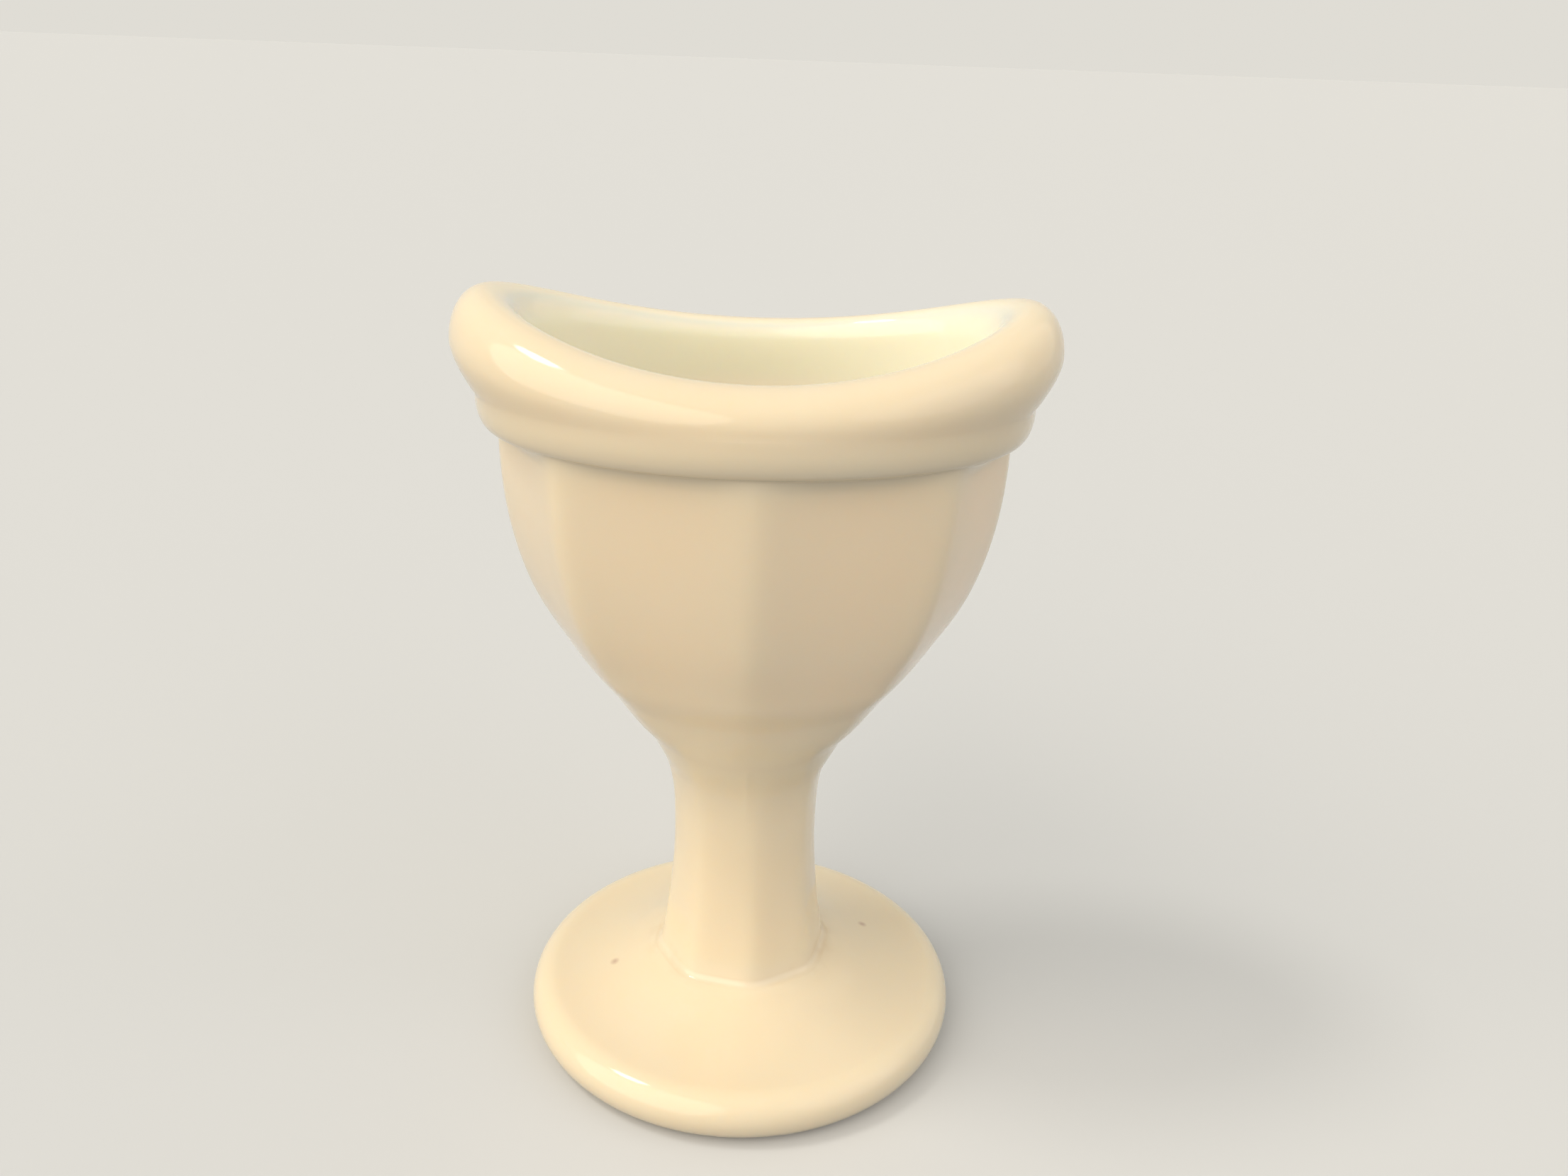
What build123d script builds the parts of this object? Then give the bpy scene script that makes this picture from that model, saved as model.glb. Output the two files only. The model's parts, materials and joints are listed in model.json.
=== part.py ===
from build123d import *
import os
from math import cos, pi, sin, sqrt

# Eye bath in pressed opal glass: an oval, eight-panelled cup with a rolled saddle lip,
# on an eight-sided waisted stem and a round foot. Millimetres, +Z up.
# The origin is at the middle of the foot's underside. X runs from horn to horn of the lip.

# Foot
foot_diameter = 37.5
foot_edge_thickness = 4.2
foot_crown_height = 7.4
foot_root_radius = 0.9
foot_ring_width = 2.35
foot_hollow_depth = 0.8

# Stem, measured across its corners
side_count = 8
stem_base_diameter = 14.6
stem_waist_diameter = 12.1
stem_waist_rise = 10.6
stem_length = 21.0
stem_base_flare = 1.4
stem_neck_flare = 4.0
stem_turn = 7.5
neck_diameter = 16.2
neck_length = 6.8

# Bowl, measured across its corners, with the wall behind them
bowl_length = 40.5
bowl_width = 29.4
bowl_depth = 25.8
bowl_fullness = 2.5
panel_end_rise = 5.0
corner_run_out = 1.9
bottom_share = 0.915
corner_clearance = 1.06
wall_thickness = 3.4
floor_thickness = 4.6
floor_roll = 3.0

# Collar band and rolled lip
collar_step = 1.1
collar_height = 3.1
lip_overhang = 0.35
lip_low_rise = 2.9
lip_swell_rise = 2.4
horn_rise = 4.7
horn_flare = 1.6
side_draw = 1.4
lip_taper = 2.8
lip_thickness = 4.1
lip_outer_roll = 2.5
lip_inner_roll = 1.2

# Heights from the foot up
neck_height = foot_crown_height + stem_length
panel_end_height = neck_height + panel_end_rise
corner_end_height = panel_end_height + corner_run_out
bowl_top_height = neck_height + bowl_depth
collar_top_height = bowl_top_height + collar_height
lip_low_height = collar_top_height + lip_low_rise
horn_height = lip_low_height + horn_rise
blank_height = horn_height + lip_outer_roll
cup_floor_height = neck_height + floor_thickness

# Half sizes
foot_radius = foot_diameter / 2
foot_edge_radius = foot_edge_thickness / 2
foot_ring_radius = foot_radius - foot_edge_radius - foot_ring_width
stem_base_radius = stem_base_diameter / 2
stem_waist_radius = stem_waist_diameter / 2
neck_radius = neck_diameter / 2
bowl_root_radius = neck_radius / bottom_share
collar_half_length = bowl_length / 2 + collar_step
collar_half_width = bowl_width / 2 + collar_step
lip_half_length = collar_half_length + horn_flare
lip_half_width = collar_half_width - side_draw

# The saddle of the lip: an arc along X through the low sides and the crests of the two horns
crest_half_length = lip_half_length - lip_thickness / 2
saddle_radius = (crest_half_length**2 + horn_rise**2) / (2 * horn_rise)
saddle_half_reach = lip_half_length + lip_thickness
saddle_end_height = lip_low_height + saddle_radius - sqrt(saddle_radius**2 - saddle_half_reach**2)


def bowl_half_axes(height):
    """Half length and half width of the bowl at a height, across its corners."""
    climb = (height - neck_height) / bowl_depth
    swell = 1 - max(1 - climb, 0) ** bowl_fullness
    half_length = bowl_root_radius + (bowl_length / 2 - bowl_root_radius) * swell
    half_width = bowl_root_radius + (bowl_width / 2 - bowl_root_radius) * swell
    return half_length, half_width


def stem_radius(height):
    """Radius of the stem's corners at a height, least at the waist."""
    rise = height - foot_crown_height - stem_waist_rise
    if rise < 0:
        reach = -rise / stem_waist_rise
        return stem_waist_radius + (stem_base_radius - stem_waist_radius) * reach**stem_base_flare
    reach = rise / (stem_length - stem_waist_rise)
    return stem_waist_radius + (neck_radius - stem_waist_radius) * reach**stem_neck_flare


def corners(half_length, half_width):
    """Corners of an eight-sided section, with one at each end of each axis."""
    turns = [2 * pi * k / side_count for k in range(side_count)]
    return [(half_length * cos(turn), half_width * sin(turn)) for turn in turns]


def levels(low, high, count):
    """Evenly spaced section heights from low to high."""
    return [low + (high - low) * k / (count - 1) for k in range(count)]


# Foot: a dished disc with a full round edge, rising in a hollow curve to the stem's root
with BuildPart() as foot:
    with BuildSketch(Plane.XZ):
        with BuildLine():
            edge_start = (foot_radius - foot_edge_radius, 0)
            edge_end = (foot_radius - foot_edge_radius, foot_edge_thickness)
            root_start = (stem_base_radius + foot_root_radius, foot_crown_height - foot_root_radius)
            root_middle = (
                root_start[0] - foot_root_radius * sin(pi / 4),
                root_start[1] + foot_root_radius * (1 - cos(pi / 4)),
            )
            root_end = (stem_base_radius, foot_crown_height)
            Polyline(
                root_end,
                (0, foot_crown_height),
                (0, foot_hollow_depth),
                (foot_ring_radius - foot_hollow_depth, foot_hollow_depth),
                (foot_ring_radius, 0),
                edge_start,
            )
            ThreePointArc(edge_start, (foot_radius, foot_edge_radius), edge_end)
            TangentArc(edge_end, root_start, tangent=(-1, 0))
            ThreePointArc(root_start, root_middle, root_end)
        make_face()
    revolve(axis=Axis.Z)

# Stem: eight-sided and waisted, its corners dying away into a round neck under the bowl
with BuildPart() as stem:
    for height in levels(foot_crown_height, neck_height, 7):
        with BuildSketch(Plane.XY.offset(height)):
            Polygon(*corners(stem_radius(height), stem_radius(height)), rotation=stem_turn, align=None)
    loft()
    with BuildSketch(Plane.XZ):
        with BuildLine():
            neck_start = (stem_waist_radius * cos(pi / side_count), neck_height - neck_length)
            neck_end = (neck_radius, neck_height)
            TangentArc(neck_start, neck_end, tangent=(0, 1))
            Polyline(neck_end, (0, neck_height), (0, neck_height - neck_length), neck_start)
        make_face()
    revolve(axis=Axis.Z)

# The hollow of the cup: ovals one wall inside the bowl, then out to the mouth of the lip
with BuildPart() as cup_hollow:
    for height in levels(cup_floor_height, bowl_top_height, 5):
        half_length, half_width = bowl_half_axes(height)
        share = bottom_share if height == cup_floor_height else 1
        with BuildSketch(Plane.XY.offset(height)):
            Ellipse(half_length * share - wall_thickness, half_width * share - wall_thickness)
    with BuildSketch(Plane.XY.offset(horn_height)):
        Ellipse(lip_half_length - lip_thickness, lip_half_width - lip_thickness)
    loft()
    fillet(cup_hollow.edges().group_by(Axis.Z)[0], radius=floor_roll)

# The round bottom of the bowl, which opens out past the corners of the panels above it
with BuildPart() as round_bottom:
    bottom_sections = [
        (neck_height, bottom_share),
        ((neck_height + panel_end_height) / 2, bottom_share),
        (panel_end_height, bottom_share),
        (corner_end_height, 1),
        (bowl_top_height, corner_clearance),
    ]
    for height, share in bottom_sections:
        half_length, half_width = bowl_half_axes(height)
        with BuildSketch(Plane.XY.offset(height)):
            Ellipse(half_length * share, half_width * share)
    loft()

# Bowl: eight panels up to the collar, their lower corners rounded off into the bottom
with BuildPart() as bowl:
    for height in levels(neck_height, bowl_top_height, 7):
        with BuildSketch(Plane.XY.offset(height)):
            Polygon(*corners(*bowl_half_axes(height)), align=None)
    loft()
    add(round_bottom.part, mode=Mode.INTERSECT)
    add(cup_hollow.part, mode=Mode.SUBTRACT)

# Everything above the saddle of the lip
with BuildPart() as above_lip:
    with BuildSketch(Plane.XZ):
        with BuildLine():
            saddle_ends = [(side * saddle_half_reach, saddle_end_height) for side in (-1, 1)]
            top_corners = [(side * saddle_half_reach, 2 * saddle_end_height) for side in (1, -1)]
            ThreePointArc(saddle_ends[0], (0, lip_low_height), saddle_ends[1])
            Polyline(saddle_ends[1], *top_corners, saddle_ends[0])
        make_face()
    extrude(amount=lip_half_width + lip_thickness, both=True)

# Rim: the collar band round the top of the bowl, and the lip on it, rolled over at the crest
with BuildPart() as rim:
    with BuildSketch(Plane.XY.offset(bowl_top_height)):
        Ellipse(collar_half_length, collar_half_width)
    extrude(amount=collar_height)
    fillet(rim.edges().group_by(Axis.Z)[0], radius=collar_step)
    with BuildSketch(Plane.XY.offset(collar_top_height)):
        Ellipse(collar_half_length + lip_overhang, collar_half_width + lip_overhang)
    with BuildSketch(Plane.XY.offset(collar_top_height + lip_swell_rise)):
        Ellipse(lip_half_length, lip_half_width)
    with BuildSketch(Plane.XY.offset(blank_height)):
        Ellipse(lip_half_length - lip_taper, lip_half_width - lip_taper)
    loft()
    add(cup_hollow.part, mode=Mode.SUBTRACT)
    add(above_lip.part, mode=Mode.SUBTRACT)
    crest = rim.faces().filter_by(GeomType.CYLINDER).sort_by(Axis.Z)[-1]
    fillet(crest.outer_wire().edges(), radius=lip_outer_roll)
    crest = rim.faces().filter_by(GeomType.CYLINDER).sort_by(Axis.Z)[-1]
    fillet(crest.inner_wires()[0].edges(), radius=lip_inner_roll)

os.makedirs("parts", exist_ok=True)
foot.part.label = "foot"
export_step(foot.part, "parts/foot.step")
stem.part.label = "stem"
export_step(stem.part, "parts/stem.step")
bowl.part.label = "bowl"
export_step(bowl.part, "parts/bowl.step")
rim.part.label = "rim"
export_step(rim.part, "parts/rim.step")
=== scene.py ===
"""A pressed opal glass eye bath: an oval panelled cup with a rolled saddle lip, on a stem and a foot."""

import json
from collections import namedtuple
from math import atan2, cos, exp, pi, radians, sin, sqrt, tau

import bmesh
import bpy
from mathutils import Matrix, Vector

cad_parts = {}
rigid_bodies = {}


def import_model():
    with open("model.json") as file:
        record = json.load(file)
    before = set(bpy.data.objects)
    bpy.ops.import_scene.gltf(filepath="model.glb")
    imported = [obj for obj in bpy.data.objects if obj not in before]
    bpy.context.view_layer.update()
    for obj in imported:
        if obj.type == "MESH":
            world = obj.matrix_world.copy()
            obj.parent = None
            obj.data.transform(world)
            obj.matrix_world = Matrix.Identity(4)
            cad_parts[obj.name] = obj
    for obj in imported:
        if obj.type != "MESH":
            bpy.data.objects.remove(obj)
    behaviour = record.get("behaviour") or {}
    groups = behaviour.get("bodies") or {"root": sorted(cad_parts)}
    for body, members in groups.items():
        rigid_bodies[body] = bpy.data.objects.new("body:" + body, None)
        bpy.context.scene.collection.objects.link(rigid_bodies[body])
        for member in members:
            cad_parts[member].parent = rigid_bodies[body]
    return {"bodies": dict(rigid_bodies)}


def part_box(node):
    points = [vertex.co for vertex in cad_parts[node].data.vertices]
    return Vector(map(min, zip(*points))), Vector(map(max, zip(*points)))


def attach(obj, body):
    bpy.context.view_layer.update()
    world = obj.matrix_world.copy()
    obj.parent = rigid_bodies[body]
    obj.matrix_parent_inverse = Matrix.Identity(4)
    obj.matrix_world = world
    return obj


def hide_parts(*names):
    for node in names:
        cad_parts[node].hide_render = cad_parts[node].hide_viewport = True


bl_info = {
    "name": "Opal Glass Eye Bath",
    "version": (1, 0, 0),
    "blender": (4, 5, 0),
    "location": "View3D > Sidebar > Eye Bath",
    "description": "Builds a pressed opal glass eye bath and a pale studio floor for it",
    "category": "Add Mesh",
}

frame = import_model()

MM = 0.001
BODY = next(iter(frame["bodies"]))
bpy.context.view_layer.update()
FOOT_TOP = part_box("foot")[1]
STEM_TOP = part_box("stem")[1]
BOWL_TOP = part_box("bowl")[1]

# The pieces share one number of points round, a multiple of the eight sides, so their ends match
POINTS_ROUND = 256
MERGE_DISTANCE = 0.001 * MM

# An eight-sided section: the reach of its flats as a share of its corners', and a round limit so far
# outside the corners that it leaves them as they are
SIDES = 8
FLAT_REACH = cos(pi / SIDES)
OPEN_LIMIT = 2.0

# How many rings draw each stretch of a piece's outline, from the foot up
FOOT_HOLLOW_RINGS = 8
HOLLOW_EDGE_RINGS = 5
STANDING_RINGS = 4
FOOT_EDGE_RINGS = 25
FOOT_TOP_RINGS = 24
FOOT_ROOT_RINGS = 13
STEM_RINGS = 85
BOWL_SIDE_RINGS = 112
COVE_RINGS = 13
CUP_WALL_RINGS = 40
CUP_FLOOR_RINGS = 22
COLLAR_EDGE_RINGS = 12
COLLAR_FACE_RINGS = 5
LIP_SWELL_RINGS = 19
LIP_CREST_RINGS = 23
LIP_ROLL_RINGS = 17
LIP_INSIDE_RINGS = 20


def linear_rgb(colour):
    """An sRGB hex colour as linear red, green and blue."""
    parts = [int(colour[k : k + 2], 16) / 255 for k in (1, 3, 5)]
    return [part / 12.92 if part <= 0.04045 else ((part + 0.055) / 1.055) ** 2.4 for part in parts]


def length(name, description, default):
    """A size in metres that a user may change."""
    return bpy.props.FloatProperty(
        name=name,
        description=description,
        default=default,
        min=0.0,
        precision=5,
        subtype="DISTANCE",
        unit="LENGTH",
    )


def colour(name, description, default):
    """A colour that a user may change, given as an sRGB hex value."""
    return bpy.props.FloatVectorProperty(
        name=name,
        description=description,
        default=linear_rgb(default),
        min=0.0,
        max=1.0,
        subtype="COLOR",
    )


def number(name, description, default):
    """A plain number that a user may change."""
    return bpy.props.FloatProperty(name=name, description=description, default=default)


class EyeBathFootSizes(bpy.types.PropertyGroup):
    """Sizes of the round foot."""

    radius: length("Radius", "Outer radius of the foot", FOOT_TOP.x)
    edge_thickness: length("Edge Thickness", "Height of the full round edge", 4.2 * MM)
    ring_width: length("Ring Width", "Width of the flat ring that it stands on", 2.35 * MM)
    hollow_depth: length("Hollow Depth", "Depth of the hollow under the foot", 0.8 * MM)
    root_spread: length("Root Spread", "How far the corners of the stem run out over the foot", 2.6 * MM)
    root_fillet: length("Root Fillet", "Radius of the hollow corner round the stem", 0.7 * MM)


class EyeBathStemSizes(bpy.types.PropertyGroup):
    """Sizes of the eight-sided stem, measured to its corners."""

    base_radius: length("Base Radius", "Radius where the stem meets the foot", 7.45 * MM)
    base_flare: number("Base Flare", "How late the stem widens towards the foot", 1.4)
    waist_radius: length("Waist Radius", "Least radius of the stem", 6.21 * MM)
    waist_rise: length("Waist Rise", "Height of the waist above the foot", 10.6 * MM)
    neck_radius: length("Neck Radius", "Radius where the stem meets the bowl", STEM_TOP.x + 0.15 * MM)
    neck_flare: number("Neck Flare", "How late the stem widens towards the bowl", 3.0)
    neck_length: length("Neck Length", "Height of the round neck under the bowl", 6.8 * MM)
    corner_fade: length("Corner Fade", "Height in which the corners die away into the neck", 3.0 * MM)
    softness: number("Softness", "Sharpness of the corners, higher for sharper ones", 18.0)
    turned: bpy.props.FloatProperty(
        name="Turned",
        description="How far the eight sides are turned against those of the bowl",
        default=radians(7.5),
        subtype="ANGLE",
    )
    seam_height: length("Seam Height", "Height of the mould seam, front and back", 0.05 * MM)
    seam_width: length("Seam Width", "Half width of the mould seam", 0.3 * MM)


class EyeBathBowlSizes(bpy.types.PropertyGroup):
    """Sizes of the eight-panelled bowl, measured to its corners."""

    half_length: length("Half Length", "Half length at the top", BOWL_TOP.x)
    half_width: length("Half Width", "Half width at the top", BOWL_TOP.y)
    fullness: number("Fullness", "How soon the sides stand upright", 2.5)
    panel_end_rise: length("Panel End Rise", "Height of the panels' lower ends above the neck", 4.0 * MM)
    corner_run_out: length("Corner Run Out", "Height in which the corners die away", 3.0 * MM)
    bottom_share: number("Bottom Share", "Reach of the round bottom, as a share of the corners'", 0.915)
    end_share: number("End Share", "Reach of the panels' lower ends, as a share of the corners'", 0.93)
    end_softness: number("End Softness", "Sharpness of the panels' lower ends, higher when sharper", 18.0)
    neck_ease: length("Neck Ease", "Height in which the bottom bends out of the neck", 1.6 * MM)
    softness: number("Softness", "Sharpness of the corners, higher for sharper ones", 48.0)
    cove_height: length("Cove Height", "Height of the hollow corner under the collar", 1.4 * MM)
    wall: length("Wall", "Thickness of the wall behind the corners", 3.4 * MM)
    floor: length("Floor", "Thickness of the glass under the hollow", 4.6 * MM)
    floor_roll: length("Floor Roll", "Height of the round bottom of the hollow", 4.0 * MM)


class EyeBathRimSizes(bpy.types.PropertyGroup):
    """Sizes of the collar band and of the lip, at the two horns and at the two low sides."""

    collar_step: length("Collar Step", "How far the collar stands out from the bowl", 1.1 * MM)
    collar_roll: length("Collar Roll", "Height of the collar's rounded lower edge", 2.0 * MM)
    collar_height: length("Collar Height", "Height of the collar band", 2.9 * MM)
    groove: length("Groove", "Depth of the groove between collar and lip at the horns", 0.16 * MM)
    groove_reach: length("Groove Reach", "Half height of that groove", 0.7 * MM)
    horn_swell: length("Horn Swell", "How far the horns reach past the collar", 1.76 * MM)
    horn_swell_rise: length("Horn Swell Rise", "Height of the horns' widest line above the bowl", 6.5 * MM)
    horn_crest: length("Horn Crest", "How far the horns' crests stand in from the collar", 0.75 * MM)
    horn_rise: length("Horn Rise", "Height of the horns above the bowl", 10.15 * MM)
    horn_roll: length("Horn Roll", "Width of the rounded inner edge of the horns", 3.0 * MM)
    horn_roll_drop: length("Horn Roll Drop", "Height of the rounded inner edge of the horns", 3.6 * MM)
    side_draw: length("Side Draw", "How far the lip draws in at its low sides", 0.05 * MM)
    side_swell_rise: length("Side Swell Rise", "Height where the low sides start to roll in", 3.4 * MM)
    side_crest: length("Side Crest", "How far the low sides' crests stand in from the collar", 3.3 * MM)
    side_rise: length("Side Rise", "Height of the low sides above the bowl", 6.0 * MM)
    side_roll: length("Side Roll", "Width of the rounded inner edge of the low sides", 1.4 * MM)
    side_roll_drop: length("Side Roll Drop", "Height of the rounded inner edge of the low sides", 1.6 * MM)


class EyeBathFinish(bpy.types.PropertyGroup):
    """Colours of the glass and of the stage."""

    glass: colour("Glass", "Colour of the opal glass, yellowed a little by handling", "#F4E3C5")
    # Painted light: the inside of the cup is painted in this lighter colour, for light that reaches into the
    # hollow
    painted_light_glass: colour("Painted Light Glass", "Lighter colour of the opal glass inside the cup", "#FFF6E2")
    thin_glass: colour("Thin Glass", "Cooler colour of the opal glass along its thin edge", "#DFE6DF")
    grime: colour("Grime", "Colour of the dust held in the corner round the stem", "#C9A878")
    speck: colour("Speck", "Colour of the specks pressed into the glass", "#B58A7C")
    floor: colour("Floor", "Colour of the studio floor", "#DDDEDF")
    floor_bounce: colour("Floor Bounce", "Colour of the light that the floor throws back up", "#80848A")


# One level of a piece: an oval, its reach by the turn, its share of the lip's saddle, how far it is
# tinted as a thin edge or by grime, how near it is to the join with the next piece, and whether it is
# inside the cup
Ring = namedtuple(
    "Ring",
    "half_length half_width height reach lift thin grime join inside",
    defaults=[None] + [0.0] * 5,
)

# How far from a join with the next piece light no longer finds its way there inside the glass
JOIN_REACH = 2.0 * MM

# Dust lies in the corner round the stem: how far it reaches in, out over the foot and up the stem
GRIME_IN = 0.3 * MM
GRIME_OUT = 1.1 * MM
GRIME_UP = 0.8 * MM

# Height of the neck's plain end, in which the mould seam dies away into the bowl
PLAIN_NECK = 0.6 * MM

# The lip: how full its outer swell is, where on its rounded inner edge the thin line lies and how far
# that reaches, and how closely the soft swell and the groove keep to the horns
SWELL_FULLNESS = 1.6
THIN_LINE_PLACE = 0.7
THIN_LINE_REACH = 0.3
SWELL_HOLD = 16
GROOVE_HOLD = 24


def soft_corners(turn, softness, limit):
    """Reach of a soft-cornered eight-sided section within a round limit, as a share of its corners'."""
    total = limit**-softness
    for side in range(SIDES // 2):
        off_flat = turn - (side + 0.5) * tau / SIDES
        total += (abs(cos(off_flat)) / FLAT_REACH) ** softness
    return total ** (-1 / softness)


def smooth_step(low, high, value):
    """0 below low, 1 above high, and a smooth rise between them."""
    share = min(max((value - low) / (high - low), 0.0), 1.0)
    return share * share * (3 - 2 * share)


def near_join(distance):
    """1 at a join with the next piece, falling to 0 well away from it."""
    return 1 - smooth_step(0.0, JOIN_REACH, distance)


def levels(low, high, count):
    """Evenly spaced values from low to high, both counted."""
    return [low + (high - low) * k / (count - 1) for k in range(count)]


def arc(centre, radius, start, end, count):
    """Points of an arc in the plane of reach and height, by angles from the outward direction."""
    return [(centre[0] + radius * cos(a), centre[1] + radius * sin(a)) for a in levels(start, end, count)]


def ring_solid(name, rings, closed_loop, sharp_rings, saddle=None):
    """A solid skinned over rings: a ladder spun round Z, and each rung's points moved out to their ring."""
    mesh = bmesh.new()
    thin = mesh.verts.layers.float.new("thin_edge")
    grime = mesh.verts.layers.float.new("grime")
    join = mesh.verts.layers.float.new("join")
    inside = mesh.verts.layers.float.new("inside")
    ladder = [mesh.verts.new((1, 0, level)) for level in range(len(rings))]
    rungs = [mesh.edges.new(pair) for pair in zip(ladder, ladder[1:])]
    if closed_loop:
        rungs.append(mesh.edges.new((ladder[-1], ladder[0])))
    bmesh.ops.spin(
        mesh,
        geom=ladder + rungs,
        cent=(0, 0, 0),
        axis=(0, 0, 1),
        angle=tau,
        steps=POINTS_ROUND,
        use_merge=True,
    )
    for edge in mesh.edges:
        low, high = (round(point.co.z) for point in edge.verts)
        edge.smooth = low != high or low not in sharp_rings
    for face in mesh.faces:
        face.smooth = True
    for point in mesh.verts:
        ring = rings[round(point.co.z)]
        turn = atan2(point.co.y, point.co.x)
        reach = ring.reach(turn) if ring.reach else 1.0
        x = ring.half_length * reach * cos(turn)
        y = ring.half_width * reach * sin(turn)
        rise = ring.lift * saddle(x) if saddle else 0.0
        point.co = (x, y, ring.height + rise)
        point[thin] = ring.thin
        point[grime] = ring.grime * cos(turn) ** 2
        point[join] = ring.join
        point[inside] = ring.inside
    bmesh.ops.remove_doubles(mesh, verts=mesh.verts, dist=MERGE_DISTANCE)
    bmesh.ops.recalc_face_normals(mesh, faces=mesh.faces)
    data = bpy.data.meshes.new(name)
    mesh.to_mesh(data)
    mesh.free()
    piece = bpy.data.objects.new(name, data)
    bpy.context.scene.collection.objects.link(piece)
    return piece


def finish_piece(piece, node, material):
    """Gives a finished piece its glass, and lets it stand for its CAD node."""
    piece.data.materials.append(material)
    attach(piece, BODY)
    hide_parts(node)


def stem_reach(turn, stem):
    """Reach of the stem's eight soft corners at a turn."""
    return soft_corners(turn - stem.turned, stem.softness, OPEN_LIMIT)


def seam(turn, stem, radius):
    """How far the mould seam, mid front and mid back, stands out, as a share of the radius."""
    off_seam = cos(turn) * radius / stem.seam_width
    return stem.seam_height / radius * exp(-(off_seam**2))


def foot_rings(foot, stem):
    """Rings of the foot, from the middle of the hollow under it to the root of the stem."""
    edge_radius = foot.edge_thickness / 2
    edge_centre = foot.radius - edge_radius
    ring_radius = edge_centre - foot.ring_width
    hollow_radius = ring_radius - foot.hollow_depth
    root_radius = stem.base_radius + foot.root_fillet
    root_height = FOOT_TOP.z - foot.root_fillet
    rise = root_height - foot.edge_thickness
    sweep = ((edge_centre - root_radius) ** 2 + rise**2) / (2 * rise)
    points = [(radius, foot.hollow_depth) for radius in levels(0.0, hollow_radius, FOOT_HOLLOW_RINGS)]
    for share in levels(0.0, 1.0, HOLLOW_EDGE_RINGS)[1:-1]:
        points.append((hollow_radius + foot.hollow_depth * share, foot.hollow_depth * (1 - share)))
    points += [(radius, 0.0) for radius in levels(ring_radius, edge_centre, STANDING_RINGS)]
    points += arc((edge_centre, edge_radius), edge_radius, -pi / 2, pi / 2, FOOT_EDGE_RINGS)[1:]
    for radius in levels(edge_centre, root_radius, FOOT_TOP_RINGS)[1:]:
        points.append((radius, foot.edge_thickness + sweep - sqrt(sweep**2 - (edge_centre - radius) ** 2)))
    points += arc((root_radius, FOOT_TOP.z), foot.root_fillet, -pi / 2, -pi, FOOT_ROOT_RINGS)[1:]
    rings = []
    for radius, height in points:
        on_top = height > foot.edge_thickness
        share = (1 - smooth_step(stem.base_radius, stem.base_radius + foot.root_spread, radius)) * on_top
        grime = (1 - smooth_step(root_radius - GRIME_IN, root_radius + GRIME_OUT, radius)) * on_top

        def reach(turn, share=share):
            return 1 + share * (stem_reach(turn, stem) - 1)

        join = near_join(sqrt((radius - stem.base_radius) ** 2 + (height - FOOT_TOP.z) ** 2)) * on_top
        rings.append(Ring(radius, radius, height, reach, grime=grime, join=join))
    rings.append(Ring(0.0, 0.0, FOOT_TOP.z, join=1.0))
    return rings


def stem_rings(stem):
    """Rings of the stem, from the foot to the bowl."""
    low = FOOT_TOP.z
    waist = low + stem.waist_rise
    neck_start = STEM_TOP.z - stem.neck_length
    neck_start_radius = stem.waist_radius * FLAT_REACH
    swing = stem.neck_radius - neck_start_radius
    neck_sweep = (stem.neck_length**2 + swing**2) / (2 * swing)
    neck_end = STEM_TOP.z - PLAIN_NECK
    rings = [Ring(0.0, 0.0, low)]
    for height in levels(low, STEM_TOP.z, STEM_RINGS):
        if height < waist:
            share = ((waist - height) / stem.waist_rise) ** stem.base_flare
            radius = stem.waist_radius + (stem.base_radius - stem.waist_radius) * share
        else:
            share = ((height - waist) / (STEM_TOP.z - waist)) ** stem.neck_flare
            radius = stem.waist_radius + (stem.neck_radius - stem.waist_radius) * share
        climb = max(height - neck_start, 0.0)
        neck = neck_start_radius + neck_sweep - sqrt(neck_sweep**2 - climb**2)
        faded = neck_end - stem.corner_fade
        cornered = 1 - smooth_step(faded, neck_end, height)
        ridge = smooth_step(neck_start, faded, height) * (1 - smooth_step(neck_end, STEM_TOP.z, height))

        def reach(turn, radius=radius, neck=neck, cornered=cornered, ridge=ridge):
            corner = radius * stem_reach(turn, stem)
            joined = (corner**stem.softness + neck**stem.softness) ** (1 / stem.softness)
            return 1 + cornered * (joined / radius - 1) + ridge * seam(turn, stem, radius)

        grime = 1 - smooth_step(0.0, GRIME_UP, height - low)
        join = near_join(min(height - low, STEM_TOP.z - height))
        rings.append(Ring(radius, radius, height, reach, grime=grime, join=join))
    rings.append(Ring(0.0, 0.0, STEM_TOP.z))
    return rings


def bowl_half_axes(bowl, root, height):
    """Half length and half width of the bowl at a height, to its corners."""
    climb = (height - STEM_TOP.z) / (BOWL_TOP.z - STEM_TOP.z)
    swell = 1 - max(1 - climb, 0.0) ** bowl.fullness
    return root + (bowl.half_length - root) * swell, root + (bowl.half_width - root) * swell


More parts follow.
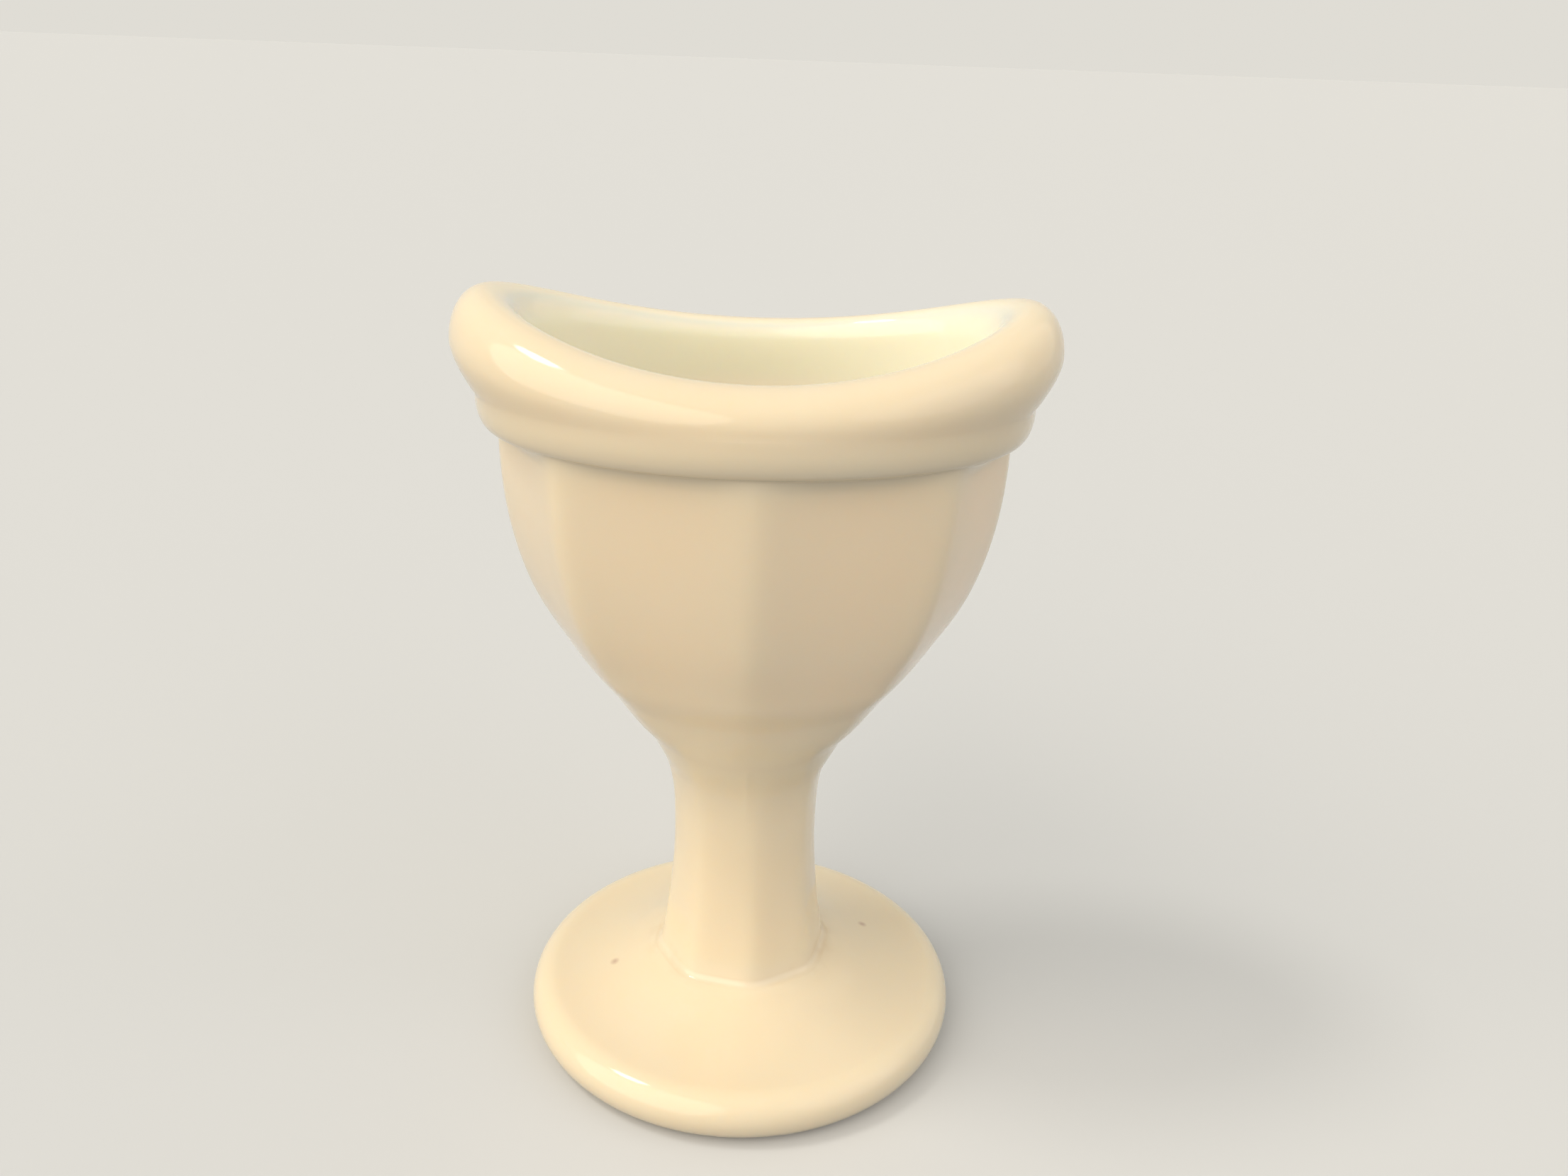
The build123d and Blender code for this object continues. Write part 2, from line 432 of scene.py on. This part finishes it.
def bowl_rings(bowl, stem):
    """Rings of the bowl: up the panelled outside, over its flat top and down the oval hollow."""
    root = stem.neck_radius / bowl.bottom_share
    panel_end = STEM_TOP.z + bowl.panel_end_rise
    corner_end = panel_end + bowl.corner_run_out
    cove_start = BOWL_TOP.z - bowl.cove_height
    waist = FOOT_TOP.z + stem.waist_rise
    neck_slope = stem.neck_flare * (stem.neck_radius - stem.waist_radius) / (STEM_TOP.z - waist)
    rise_share = bowl.fullness / (BOWL_TOP.z - STEM_TOP.z)
    length_bend = neck_slope / bowl.bottom_share - (bowl.half_length - root) * rise_share
    width_bend = neck_slope / bowl.bottom_share - (bowl.half_width - root) * rise_share
    rings = [Ring(0.0, 0.0, STEM_TOP.z, join=1.0)]
    heights = levels(STEM_TOP.z, cove_start, BOWL_SIDE_RINGS)
    heights += levels(cove_start, BOWL_TOP.z, COVE_RINGS)[1:]
    for height in heights:
        half_length, half_width = bowl_half_axes(bowl, root, height)
        climb = min((height - STEM_TOP.z) / bowl.neck_ease, 1.0)
        easing = bowl.neck_ease * climb * (1 - climb) ** 2
        limit = bowl.end_share + (1 - bowl.end_share) * smooth_step(panel_end, corner_end, height)
        limit += smooth_step(corner_end, BOWL_TOP.z, height)
        rise = max(height - cove_start, 0.0) / bowl.cove_height
        cove = 1 - sqrt(max(1 - rise**2, 0.0))
        panelled = smooth_step(STEM_TOP.z, panel_end, height)

        def reach(turn, limit=limit, cove=cove, panelled=panelled):
            panel = soft_corners(turn, bowl.softness, OPEN_LIMIT)
            panel = (panel**-bowl.end_softness + limit**-bowl.end_softness) ** (-1 / bowl.end_softness)
            panel = bowl.bottom_share + (panel - bowl.bottom_share) * panelled
            return panel + (1 - panel) * cove

        join = near_join(min(height - STEM_TOP.z, BOWL_TOP.z - height))
        ring_length = half_length + length_bend * easing
        rings.append(Ring(ring_length, half_width + width_bend * easing, height, reach, join=join))
    return rings + hollow_rings(bowl, root)


def hollow_rings(bowl, root):
    """Rings of the oval hollow in the bowl, from its top down to the middle of its floor."""
    floor = STEM_TOP.z + bowl.floor
    roll_top = floor + bowl.floor_roll
    steps = [(height, 1.0) for height in levels(BOWL_TOP.z, roll_top, CUP_WALL_RINGS)]
    for turn in levels(pi / 2, 0.0, CUP_FLOOR_RINGS)[1:]:
        steps.append((floor + bowl.floor_roll * (1 - cos(turn)), sin(turn)))
    rings = []
    for height, closing in steps:
        half_length, half_width = bowl_half_axes(bowl, root, height)
        narrowing = 1 - (1 - bowl.bottom_share) * (1 - smooth_step(floor, roll_top, height))
        hollow_length = (half_length * narrowing - bowl.wall) * closing
        hollow_width = (half_width * narrowing - bowl.wall) * closing
        join = near_join(BOWL_TOP.z - height)
        rings.append(Ring(hollow_length, hollow_width, height, join=join, inside=1.0))
    return rings


def rim_outline(rim, swell, swell_rise, crest, crest_rise, roll, roll_drop, hollow):
    """Outline of the rim at one end of the oval.

    Each point is its reach out from the collar's face and its rise above the bowl, then how far it is tinted
    as a thin edge and how far it lies in the cup's inside, which is painted lighter as painted light.
    """
    points = []
    for turn in levels(0.0, pi / 2, COLLAR_EDGE_RINGS):
        points.append((rim.collar_step * (sin(turn) - 1), rim.collar_roll * (1 - cos(turn)), 0.0, 0.0))
    for rise in levels(rim.collar_roll, rim.collar_height, COLLAR_FACE_RINGS)[1:]:
        points.append((0.0, rise, 0.0, 0.0))
    for share in levels(0.0, 1.0, LIP_SWELL_RINGS)[1:]:
        rise = rim.collar_height + (swell_rise - rim.collar_height) * share
        points.append((swell * (1 - (1 - share) ** SWELL_FULLNESS), rise, 0.0, 0.0))
    for turn in levels(0.0, pi / 2, LIP_CREST_RINGS)[1:]:
        out = swell + (crest - swell) * (1 - cos(turn))
        points.append((out, swell_rise + (crest_rise - swell_rise) * sin(turn), 0.0, 0.0))
    for turn in levels(0.0, pi / 2, LIP_ROLL_RINGS)[1:]:
        thin = 1 - smooth_step(0.0, THIN_LINE_REACH, abs(sin(turn) - THIN_LINE_PLACE))
        points.append((crest - roll * sin(turn), crest_rise - roll_drop * (1 - cos(turn)), thin, sin(turn)))
    last = points[-1]
    for share in levels(0.0, 1.0, LIP_INSIDE_RINGS)[1:]:
        out = last[0] + (hollow - last[0]) * smooth_step(0.0, 1.0, share)
        points.append((out, last[1] * (1 - share), 0.0, 1.0))
    return points


def rim_rings(rim, bowl, stem, saddle):
    """Rings of the rim: up the collar band, out over the lip and down into the hollow."""
    half_length = bowl.half_length + rim.collar_step
    half_width = bowl.half_width + rim.collar_step
    root = stem.neck_radius / bowl.bottom_share
    top_length, top_width = bowl_half_axes(bowl, root, BOWL_TOP.z)
    horn = rim_outline(
        rim,
        rim.horn_swell,
        rim.horn_swell_rise,
        -rim.horn_crest,
        rim.horn_rise,
        rim.horn_roll,
        rim.horn_roll_drop,
        top_length - bowl.wall - half_length,
    )
    side = rim_outline(
        rim,
        -rim.side_draw,
        rim.side_swell_rise,
        -rim.side_crest,
        rim.side_rise,
        rim.side_roll,
        rim.side_roll_drop,
        top_width - bowl.wall - half_width,
    )
    rings = []
    for (horn_out, horn_up, thin, inside), (side_out, side_up, _, _) in zip(horn, side):
        ring_length = half_length + horn_out
        lift = (horn_up - side_up) / saddle(ring_length)
        below_swell = inside == 0.0 and horn_up < rim.horn_swell_rise
        share = smooth_step(rim.collar_roll / 2, rim.horn_swell_rise, horn_up)
        softened = (max(horn_out, 0.0) - rim.horn_swell * share) * below_swell
        dent = max(1 - abs(horn_up - rim.collar_height) / rim.groove_reach, 0.0) ** 2 * rim.groove

        def reach(turn, softened=softened, dent=dent, ring_length=ring_length):
            loss = softened * (1 - cos(turn) ** SWELL_HOLD) * cos(turn) ** 2
            return 1 - (loss + dent * cos(turn) ** GROOVE_HOLD) / ring_length

        tints = {"thin": thin, "join": near_join(side_up), "inside": inside}
        rings.append(Ring(ring_length, half_width + side_out, BOWL_TOP.z + side_up, reach, lift, **tints))
    return rings


def add_node(tree, kind, settings, links=None):
    """Adds a node with its settings, by property or by input, and the links to its inputs."""
    node = tree.nodes.new(kind)
    for name, value in settings.items():
        if isinstance(name, str) and hasattr(node, name):
            setattr(node, name, value)
        else:
            node.inputs[name].default_value = value
    for name, source in (links or {}).items():
        tree.links.new(source, node.inputs[name])
    return node


def new_material(name):
    """A new material with an empty node tree."""
    material = bpy.data.materials.new(name)
    material.use_nodes = True
    material.node_tree.nodes.clear()
    return material, material.node_tree


# The Mix node has several kinds of sockets under the same names, so its colour sockets go by number
MIX_BASE = 6
MIX_TINT = 7
MIX_COLOUR = 2


def tinted(tree, base, tint, share):
    """The base colour, with the tint laid over it by a share."""
    mix = add_node(tree, "ShaderNodeMix", {"data_type": "RGBA"}, {"Factor": share})
    for socket, value in zip((mix.inputs[MIX_BASE], mix.inputs[MIX_TINT]), (base, tint)):
        if isinstance(value, bpy.types.NodeSocket):
            tree.links.new(value, socket)
        else:
            socket.default_value = (*value, 1.0)
    return mix.outputs[MIX_COLOUR]


# Where the specks are, how far each fades out, and how strongly they and the thin line tint the glass
SPECKS = [Vector((11.3, 4.8, 4.8)) * MM, Vector((-11.3, -1.9, 5.0)) * MM]
SPECK_RADIUS = 0.5 * MM
SPECK_CORE = 0.1 * MM
SPECK_STRENGTH = 0.5
THIN_STRENGTH = 0.6


def pressed_opal_glass(finish):
    """Opal glass, pressed in an iron mould and fire polished.

    It is white because light scatters on fine crystals a little way under the skin, so its shadows are
    soft and warm, and its thin edge looks cooler. The polished skin is glossy, and faintly wavy from the
    mould.
    """
    name = "pressed_opal_glass"
    if name in bpy.data.materials:
        return bpy.data.materials[name]
    material, tree = new_material(name)
    place = add_node(tree, "ShaderNodeTexCoord", {}).outputs["Object"]
    thin = add_node(tree, "ShaderNodeAttribute", {"attribute_name": "thin_edge"}).outputs["Fac"]
    grime = add_node(tree, "ShaderNodeAttribute", {"attribute_name": "grime"}).outputs["Fac"]

    # The body's colour drifts faintly over about 12 mm, as the milky melt flowed
    drift = add_node(tree, "ShaderNodeTexNoise", {"Scale": 1 / (12 * MM), "Detail": 2.0}, {"Vector": place})
    drift_share = add_node(
        tree,
        "ShaderNodeMapRange",
        {"From Min": 0.35, "From Max": 0.75, "To Min": 0.0, "To Max": 0.12},
        {"Value": drift.outputs["Fac"]},
    )
    body = tinted(tree, finish.glass, finish.thin_glass, drift_share.outputs["Result"])

    # The inside of the cup is painted lighter, as painted light for the light that reaches into the hollow
    inside = add_node(tree, "ShaderNodeAttribute", {"attribute_name": "inside"}).outputs["Fac"]
    body = tinted(tree, body, finish.painted_light_glass, inside)

    # The thin inner edge of the lip scatters cooler light
    thin_share = add_node(
        tree,
        "ShaderNodeMath",
        {"operation": "MULTIPLY", 1: THIN_STRENGTH},
        {0: thin},
    )
    body = tinted(tree, body, finish.thin_glass, thin_share.outputs["Value"])

    # A little dust is held in patches of about 2 mm in the corner left and right of the stem
    patches = add_node(
        tree,
        "ShaderNodeTexNoise",
        {"Scale": 1 / (2.0 * MM), "Detail": 2.0},
        {"Vector": place},
    )
    patch_share = add_node(
        tree,
        "ShaderNodeMapRange",
        {"From Min": 0.45, "From Max": 0.75, "To Min": 0.0, "To Max": 0.22},
        {"Value": patches.outputs["Fac"]},
    )
    grime_share = add_node(
        tree,
        "ShaderNodeMath",
        {"operation": "MULTIPLY"},
        {0: grime, 1: patch_share.outputs["Result"]},
    )
    body = tinted(tree, body, finish.grime, grime_share.outputs["Value"])

    # Two faint specks about 0.5 mm wide are pressed into the foot
    for speck in SPECKS:
        away = add_node(tree, "ShaderNodeVectorMath", {"operation": "DISTANCE", 1: speck}, {0: place})
        speck_share = add_node(
            tree,
            "ShaderNodeMapRange",
            {"From Min": SPECK_CORE, "From Max": SPECK_RADIUS, "To Min": SPECK_STRENGTH, "To Max": 0.0},
            {"Value": away.outputs["Value"]},
        )
        body = tinted(tree, body, finish.speck, speck_share.outputs["Result"])

    # The mould leaves waves of about 7 mm, and a finer chill texture of about 1.2 mm
    waves = add_node(tree, "ShaderNodeTexNoise", {"Scale": 1 / (7 * MM), "Detail": 1.0}, {"Vector": place})
    wave_bump = add_node(
        tree,
        "ShaderNodeBump",
        {"Strength": 1.0, "Distance": 0.05 * MM},
        {"Height": waves.outputs["Fac"]},
    )
    chill = add_node(
        tree,
        "ShaderNodeTexNoise",
        {"Scale": 1 / (1.2 * MM), "Detail": 2.0},
        {"Vector": place},
    )
    chill_bump = add_node(
        tree,
        "ShaderNodeBump",
        {"Strength": 1.0, "Distance": 0.002 * MM},
        {"Height": chill.outputs["Fac"], "Normal": wave_bump.outputs["Normal"]},
    )

    # The ring that it stands on is ground matt by wear, and the rest stays polished
    height = add_node(tree, "ShaderNodeSeparateXYZ", {}, {"Vector": place})
    roughness = add_node(
        tree,
        "ShaderNodeMapRange",
        {"From Min": 0.0, "From Max": 0.25 * MM, "To Min": 0.45, "To Max": 0.09},
        {"Value": height.outputs["Z"]},
    )

    # Light spreads about 1.6 mm through the glass, save at a join, where the next piece would be dark to it
    join = add_node(tree, "ShaderNodeAttribute", {"attribute_name": "join"}).outputs["Fac"]
    spread = add_node(tree, "ShaderNodeMapRange", {"To Min": 0.9, "To Max": 0.0}, {"Value": join})
    shader = add_node(
        tree,
        "ShaderNodeBsdfPrincipled",
        {"IOR": 1.5, "Subsurface Radius": (1.0, 0.9, 0.75), "Subsurface Scale": 1.6 * MM},
        {
            "Base Color": body,
            "Roughness": roughness.outputs["Result"],
            "Normal": chill_bump.outputs["Normal"],
            "Subsurface Weight": spread.outputs["Result"],
        },
    )
    add_node(tree, "ShaderNodeOutputMaterial", {}, {"Surface": shader.outputs["BSDF"]})
    return material


def seen_directly(tree):
    """1 where the camera or a reflection sees something, and 0 where it only lights other things."""
    rays = add_node(tree, "ShaderNodeLightPath", {})
    mirrored = add_node(
        tree,
        "ShaderNodeMath",
        {"operation": "MAXIMUM"},
        {0: rays.outputs["Is Glossy Ray"], 1: rays.outputs["Is Transmission Ray"]},
    )
    seen = add_node(
        tree,
        "ShaderNodeMath",
        {"operation": "MAXIMUM"},
        {0: rays.outputs["Is Camera Ray"], 1: mirrored.outputs["Value"]},
    )
    return seen.outputs["Value"]


def matt_paper(finish):
    """Matt paper, a plain pale ground with no shine, which throws only a little light up on the object."""
    material, tree = new_material("matt_paper")
    ground = tinted(tree, finish.floor_bounce, finish.floor, seen_directly(tree))
    shader = add_node(tree, "ShaderNodeBsdfPrincipled", {"Roughness": 0.9}, {"Base Color": ground})
    add_node(tree, "ShaderNodeOutputMaterial", {}, {"Surface": shader.outputs["BSDF"]})
    return material


class EYEBATH_OT_foot(bpy.types.Operator):
    """Builds the round foot"""

    bl_idname = "eye_bath.foot"
    bl_label = "Foot"

    def execute(self, context):
        scene = context.scene
        rings = foot_rings(scene.eye_bath_foot, scene.eye_bath_stem)
        piece = ring_solid("glass_foot", rings, False, {len(rings) - 2})
        finish_piece(piece, "foot", pressed_opal_glass(scene.eye_bath_finish))
        return {"FINISHED"}


class EYEBATH_OT_stem(bpy.types.Operator):
    """Builds the eight-sided stem"""

    bl_idname = "eye_bath.stem"
    bl_label = "Stem"

    def execute(self, context):
        scene = context.scene
        rings = stem_rings(scene.eye_bath_stem)
        piece = ring_solid("glass_stem", rings, False, {1, len(rings) - 2})
        finish_piece(piece, "stem", pressed_opal_glass(scene.eye_bath_finish))
        return {"FINISHED"}


class EYEBATH_OT_bowl(bpy.types.Operator):
    """Builds the panelled bowl"""

    bl_idname = "eye_bath.bowl"
    bl_label = "Bowl"

    def execute(self, context):
        scene = context.scene
        rings = bowl_rings(scene.eye_bath_bowl, scene.eye_bath_stem)
        top = [k for k, ring in enumerate(rings) if abs(ring.height - BOWL_TOP.z) < MERGE_DISTANCE]
        piece = ring_solid("glass_bowl", rings, False, {1, *top})
        finish_piece(piece, "bowl", pressed_opal_glass(scene.eye_bath_finish))
        return {"FINISHED"}


class EYEBATH_OT_rim(bpy.types.Operator):
    """Builds the collar band and the rolled lip"""

    bl_idname = "eye_bath.rim"
    bl_label = "Rim"

    def execute(self, context):
        scene = context.scene
        rim = scene.eye_bath_rim
        bowl = scene.eye_bath_bowl
        crest_reach = bowl.half_length + rim.collar_step - rim.horn_crest
        rise = rim.horn_rise - rim.side_rise
        saddle_radius = (crest_reach**2 + rise**2) / (2 * rise)

        def saddle(x):
            return saddle_radius - sqrt(saddle_radius**2 - x**2)

        rings = rim_rings(rim, bowl, scene.eye_bath_stem, saddle)
        piece = ring_solid("glass_rim", rings, True, {0, len(rings) - 1}, saddle)
        finish_piece(piece, "rim", pressed_opal_glass(scene.eye_bath_finish))
        return {"FINISHED"}


# The view of the photograph: where the camera stands, how it is turned and how wide it sees
CAMERA_PLACE = Vector((0.0, -101.97, 81.05)) * MM
CAMERA_TILT_DOWN = radians(21.6)
CAMERA_YAW = radians(1.48)
CAMERA_ROLL = radians(2.1)
IMAGE_WIDTH = 2212
FOCAL_LENGTH_PIXELS = 1903
SENSOR_WIDTH = 36.0


def add_camera(scene):
    """The camera at the photograph's viewing angle."""
    data = bpy.data.cameras.new("camera")
    data.sensor_width = SENSOR_WIDTH
    data.lens = FOCAL_LENGTH_PIXELS / IMAGE_WIDTH * SENSOR_WIDTH
    data.clip_start = 5 * MM
    data.clip_end = 50.0
    camera = bpy.data.objects.new("camera", data)
    turn = Matrix.Rotation(-CAMERA_YAW, 4, "Z") @ Matrix.Rotation(pi / 2 - CAMERA_TILT_DOWN, 4, "X")
    camera.matrix_world = Matrix.Translation(CAMERA_PLACE) @ turn @ Matrix.Rotation(CAMERA_ROLL, 4, "Z")
    scene.collection.objects.link(camera)
    scene.camera = camera


def add_sun(scene, lamp):
    """A distant soft lamp, which gives its share of the plain light level to what faces it."""
    data = bpy.data.lights.new(lamp.name, "SUN")
    data.energy = lamp.share * pi
    data.angle = lamp.width
    data.color = lamp.tint
    light = bpy.data.objects.new(lamp.name, data)
    light.rotation_mode = "QUATERNION"
    light.rotation_quaternion = lamp.towards.to_track_quat("Z", "Y")
    scene.collection.objects.link(light)


def add_world(scene, floor_colour):
    """An even sky that fills the shadows, and that looks as pale as the lit floor where it is seen."""
    world = bpy.data.worlds.new("studio")
    world.use_nodes = True
    tree = world.node_tree
    tree.nodes.clear()
    sky = add_node(tree, "ShaderNodeBackground", {"Color": (*SKY_TINT, 1.0), "Strength": SKY_SHARE})
    seen_colour = [value * level for value, level in zip(floor_colour, level_on_floor())]
    seen = add_node(tree, "ShaderNodeBackground", {"Color": (*seen_colour, 1.0), "Strength": 1.0})
    mix = add_node(
        tree,
        "ShaderNodeMixShader",
        {},
        {0: seen_directly(tree), 1: sky.outputs["Background"], 2: seen.outputs["Background"]},
    )
    add_node(tree, "ShaderNodeOutputWorld", {}, {"Surface": mix.outputs["Shader"]})
    scene.world = world


# Lamps: the direction towards each, its share of the plain level at which a colour renders as it is written,
# its width and its tint. A broad warm one stands front left, weak ones right, and a compact one above.
Lamp = namedtuple("Lamp", "name towards share width tint")
LAMPS = [
    Lamp("key", Vector((-0.68, -0.57, 0.47)), 0.71, radians(75), (1.0, 0.89, 0.75)),
    Lamp("fill", Vector((0.76, -0.44, 0.47)), 0.16, radians(60), (1.0, 0.95, 1.0)),
    Lamp("right", Vector((0.85, 0.23, 0.47)), 0.13, radians(60), (1.0, 0.78, 0.50)),
    Lamp("top", Vector((-0.50, 0.0, 0.87)), 0.17, radians(12), (1.0, 0.95, 0.86)),
]
SKY_SHARE = 0.42
SKY_TINT = (0.98, 1.03, 1.0)
FLOOR_SIZE = 20.0


def level_on_floor():
    """The light that reaches an open floor, as red, green and blue shares of the plain level."""
    total = Vector(SKY_TINT) * SKY_SHARE
    for lamp in LAMPS:
        total += Vector(lamp.tint) * lamp.share * lamp.towards.normalized().z
    return total


class EYEBATH_OT_stage(bpy.types.Operator):
    """Builds the floor, the lights and the camera"""

    bl_idname = "eye_bath.stage"
    bl_label = "Stage"

    def execute(self, context):
        scene = context.scene
        mesh = bmesh.new()
        bmesh.ops.create_grid(mesh, x_segments=1, y_segments=1, size=FLOOR_SIZE)
        data = bpy.data.meshes.new("floor")
        mesh.to_mesh(data)
        mesh.free()
        floor = bpy.data.objects.new("floor", data)
        floor.data.materials.append(matt_paper(scene.eye_bath_finish))
        scene.collection.objects.link(floor)
        for lamp in LAMPS:
            add_sun(scene, lamp)
        add_world(scene, scene.eye_bath_finish.floor)
        scene.view_settings.view_transform = "Standard"
        add_camera(scene)
        return {"FINISHED"}


class EYEBATH_PT_panel(bpy.types.Panel):
    """Lists the builders of the eye bath and their sizes"""

    bl_idname = "EYEBATH_PT_panel"
    bl_label = "Eye Bath"
    bl_space_type = "VIEW_3D"
    bl_region_type = "UI"
    bl_category = "Eye Bath"

    def draw(self, context):
        for operator, name in BUILDERS:
            box = self.layout.box()
            box.operator(operator.bl_idname)
            group = getattr(context.scene, name)
            for prop in group.__annotations__:
                box.prop(group, prop)


GROUPS = [
    ("eye_bath_finish", EyeBathFinish),
    ("eye_bath_foot", EyeBathFootSizes),
    ("eye_bath_stem", EyeBathStemSizes),
    ("eye_bath_bowl", EyeBathBowlSizes),
    ("eye_bath_rim", EyeBathRimSizes),
]
BUILDERS = [
    (EYEBATH_OT_stage, "eye_bath_finish"),
    (EYEBATH_OT_foot, "eye_bath_foot"),
    (EYEBATH_OT_stem, "eye_bath_stem"),
    (EYEBATH_OT_bowl, "eye_bath_bowl"),
    (EYEBATH_OT_rim, "eye_bath_rim"),
]


def register():
    for name, group in GROUPS:
        bpy.utils.register_class(group)
        setattr(bpy.types.Scene, name, bpy.props.PointerProperty(type=group))
    for operator, _ in BUILDERS:
        bpy.utils.register_class(operator)
    bpy.utils.register_class(EYEBATH_PT_panel)


def unregister():
    bpy.utils.unregister_class(EYEBATH_PT_panel)
    for operator, _ in reversed(BUILDERS):
        bpy.utils.unregister_class(operator)
    for name, group in reversed(GROUPS):
        delattr(bpy.types.Scene, name)
        bpy.utils.unregister_class(group)


def main():
    register()
    bpy.ops.eye_bath.stage()
    bpy.ops.eye_bath.foot()
    bpy.ops.eye_bath.stem()
    bpy.ops.eye_bath.bowl()
    bpy.ops.eye_bath.rim()


if __name__ == "__main__":
    main()
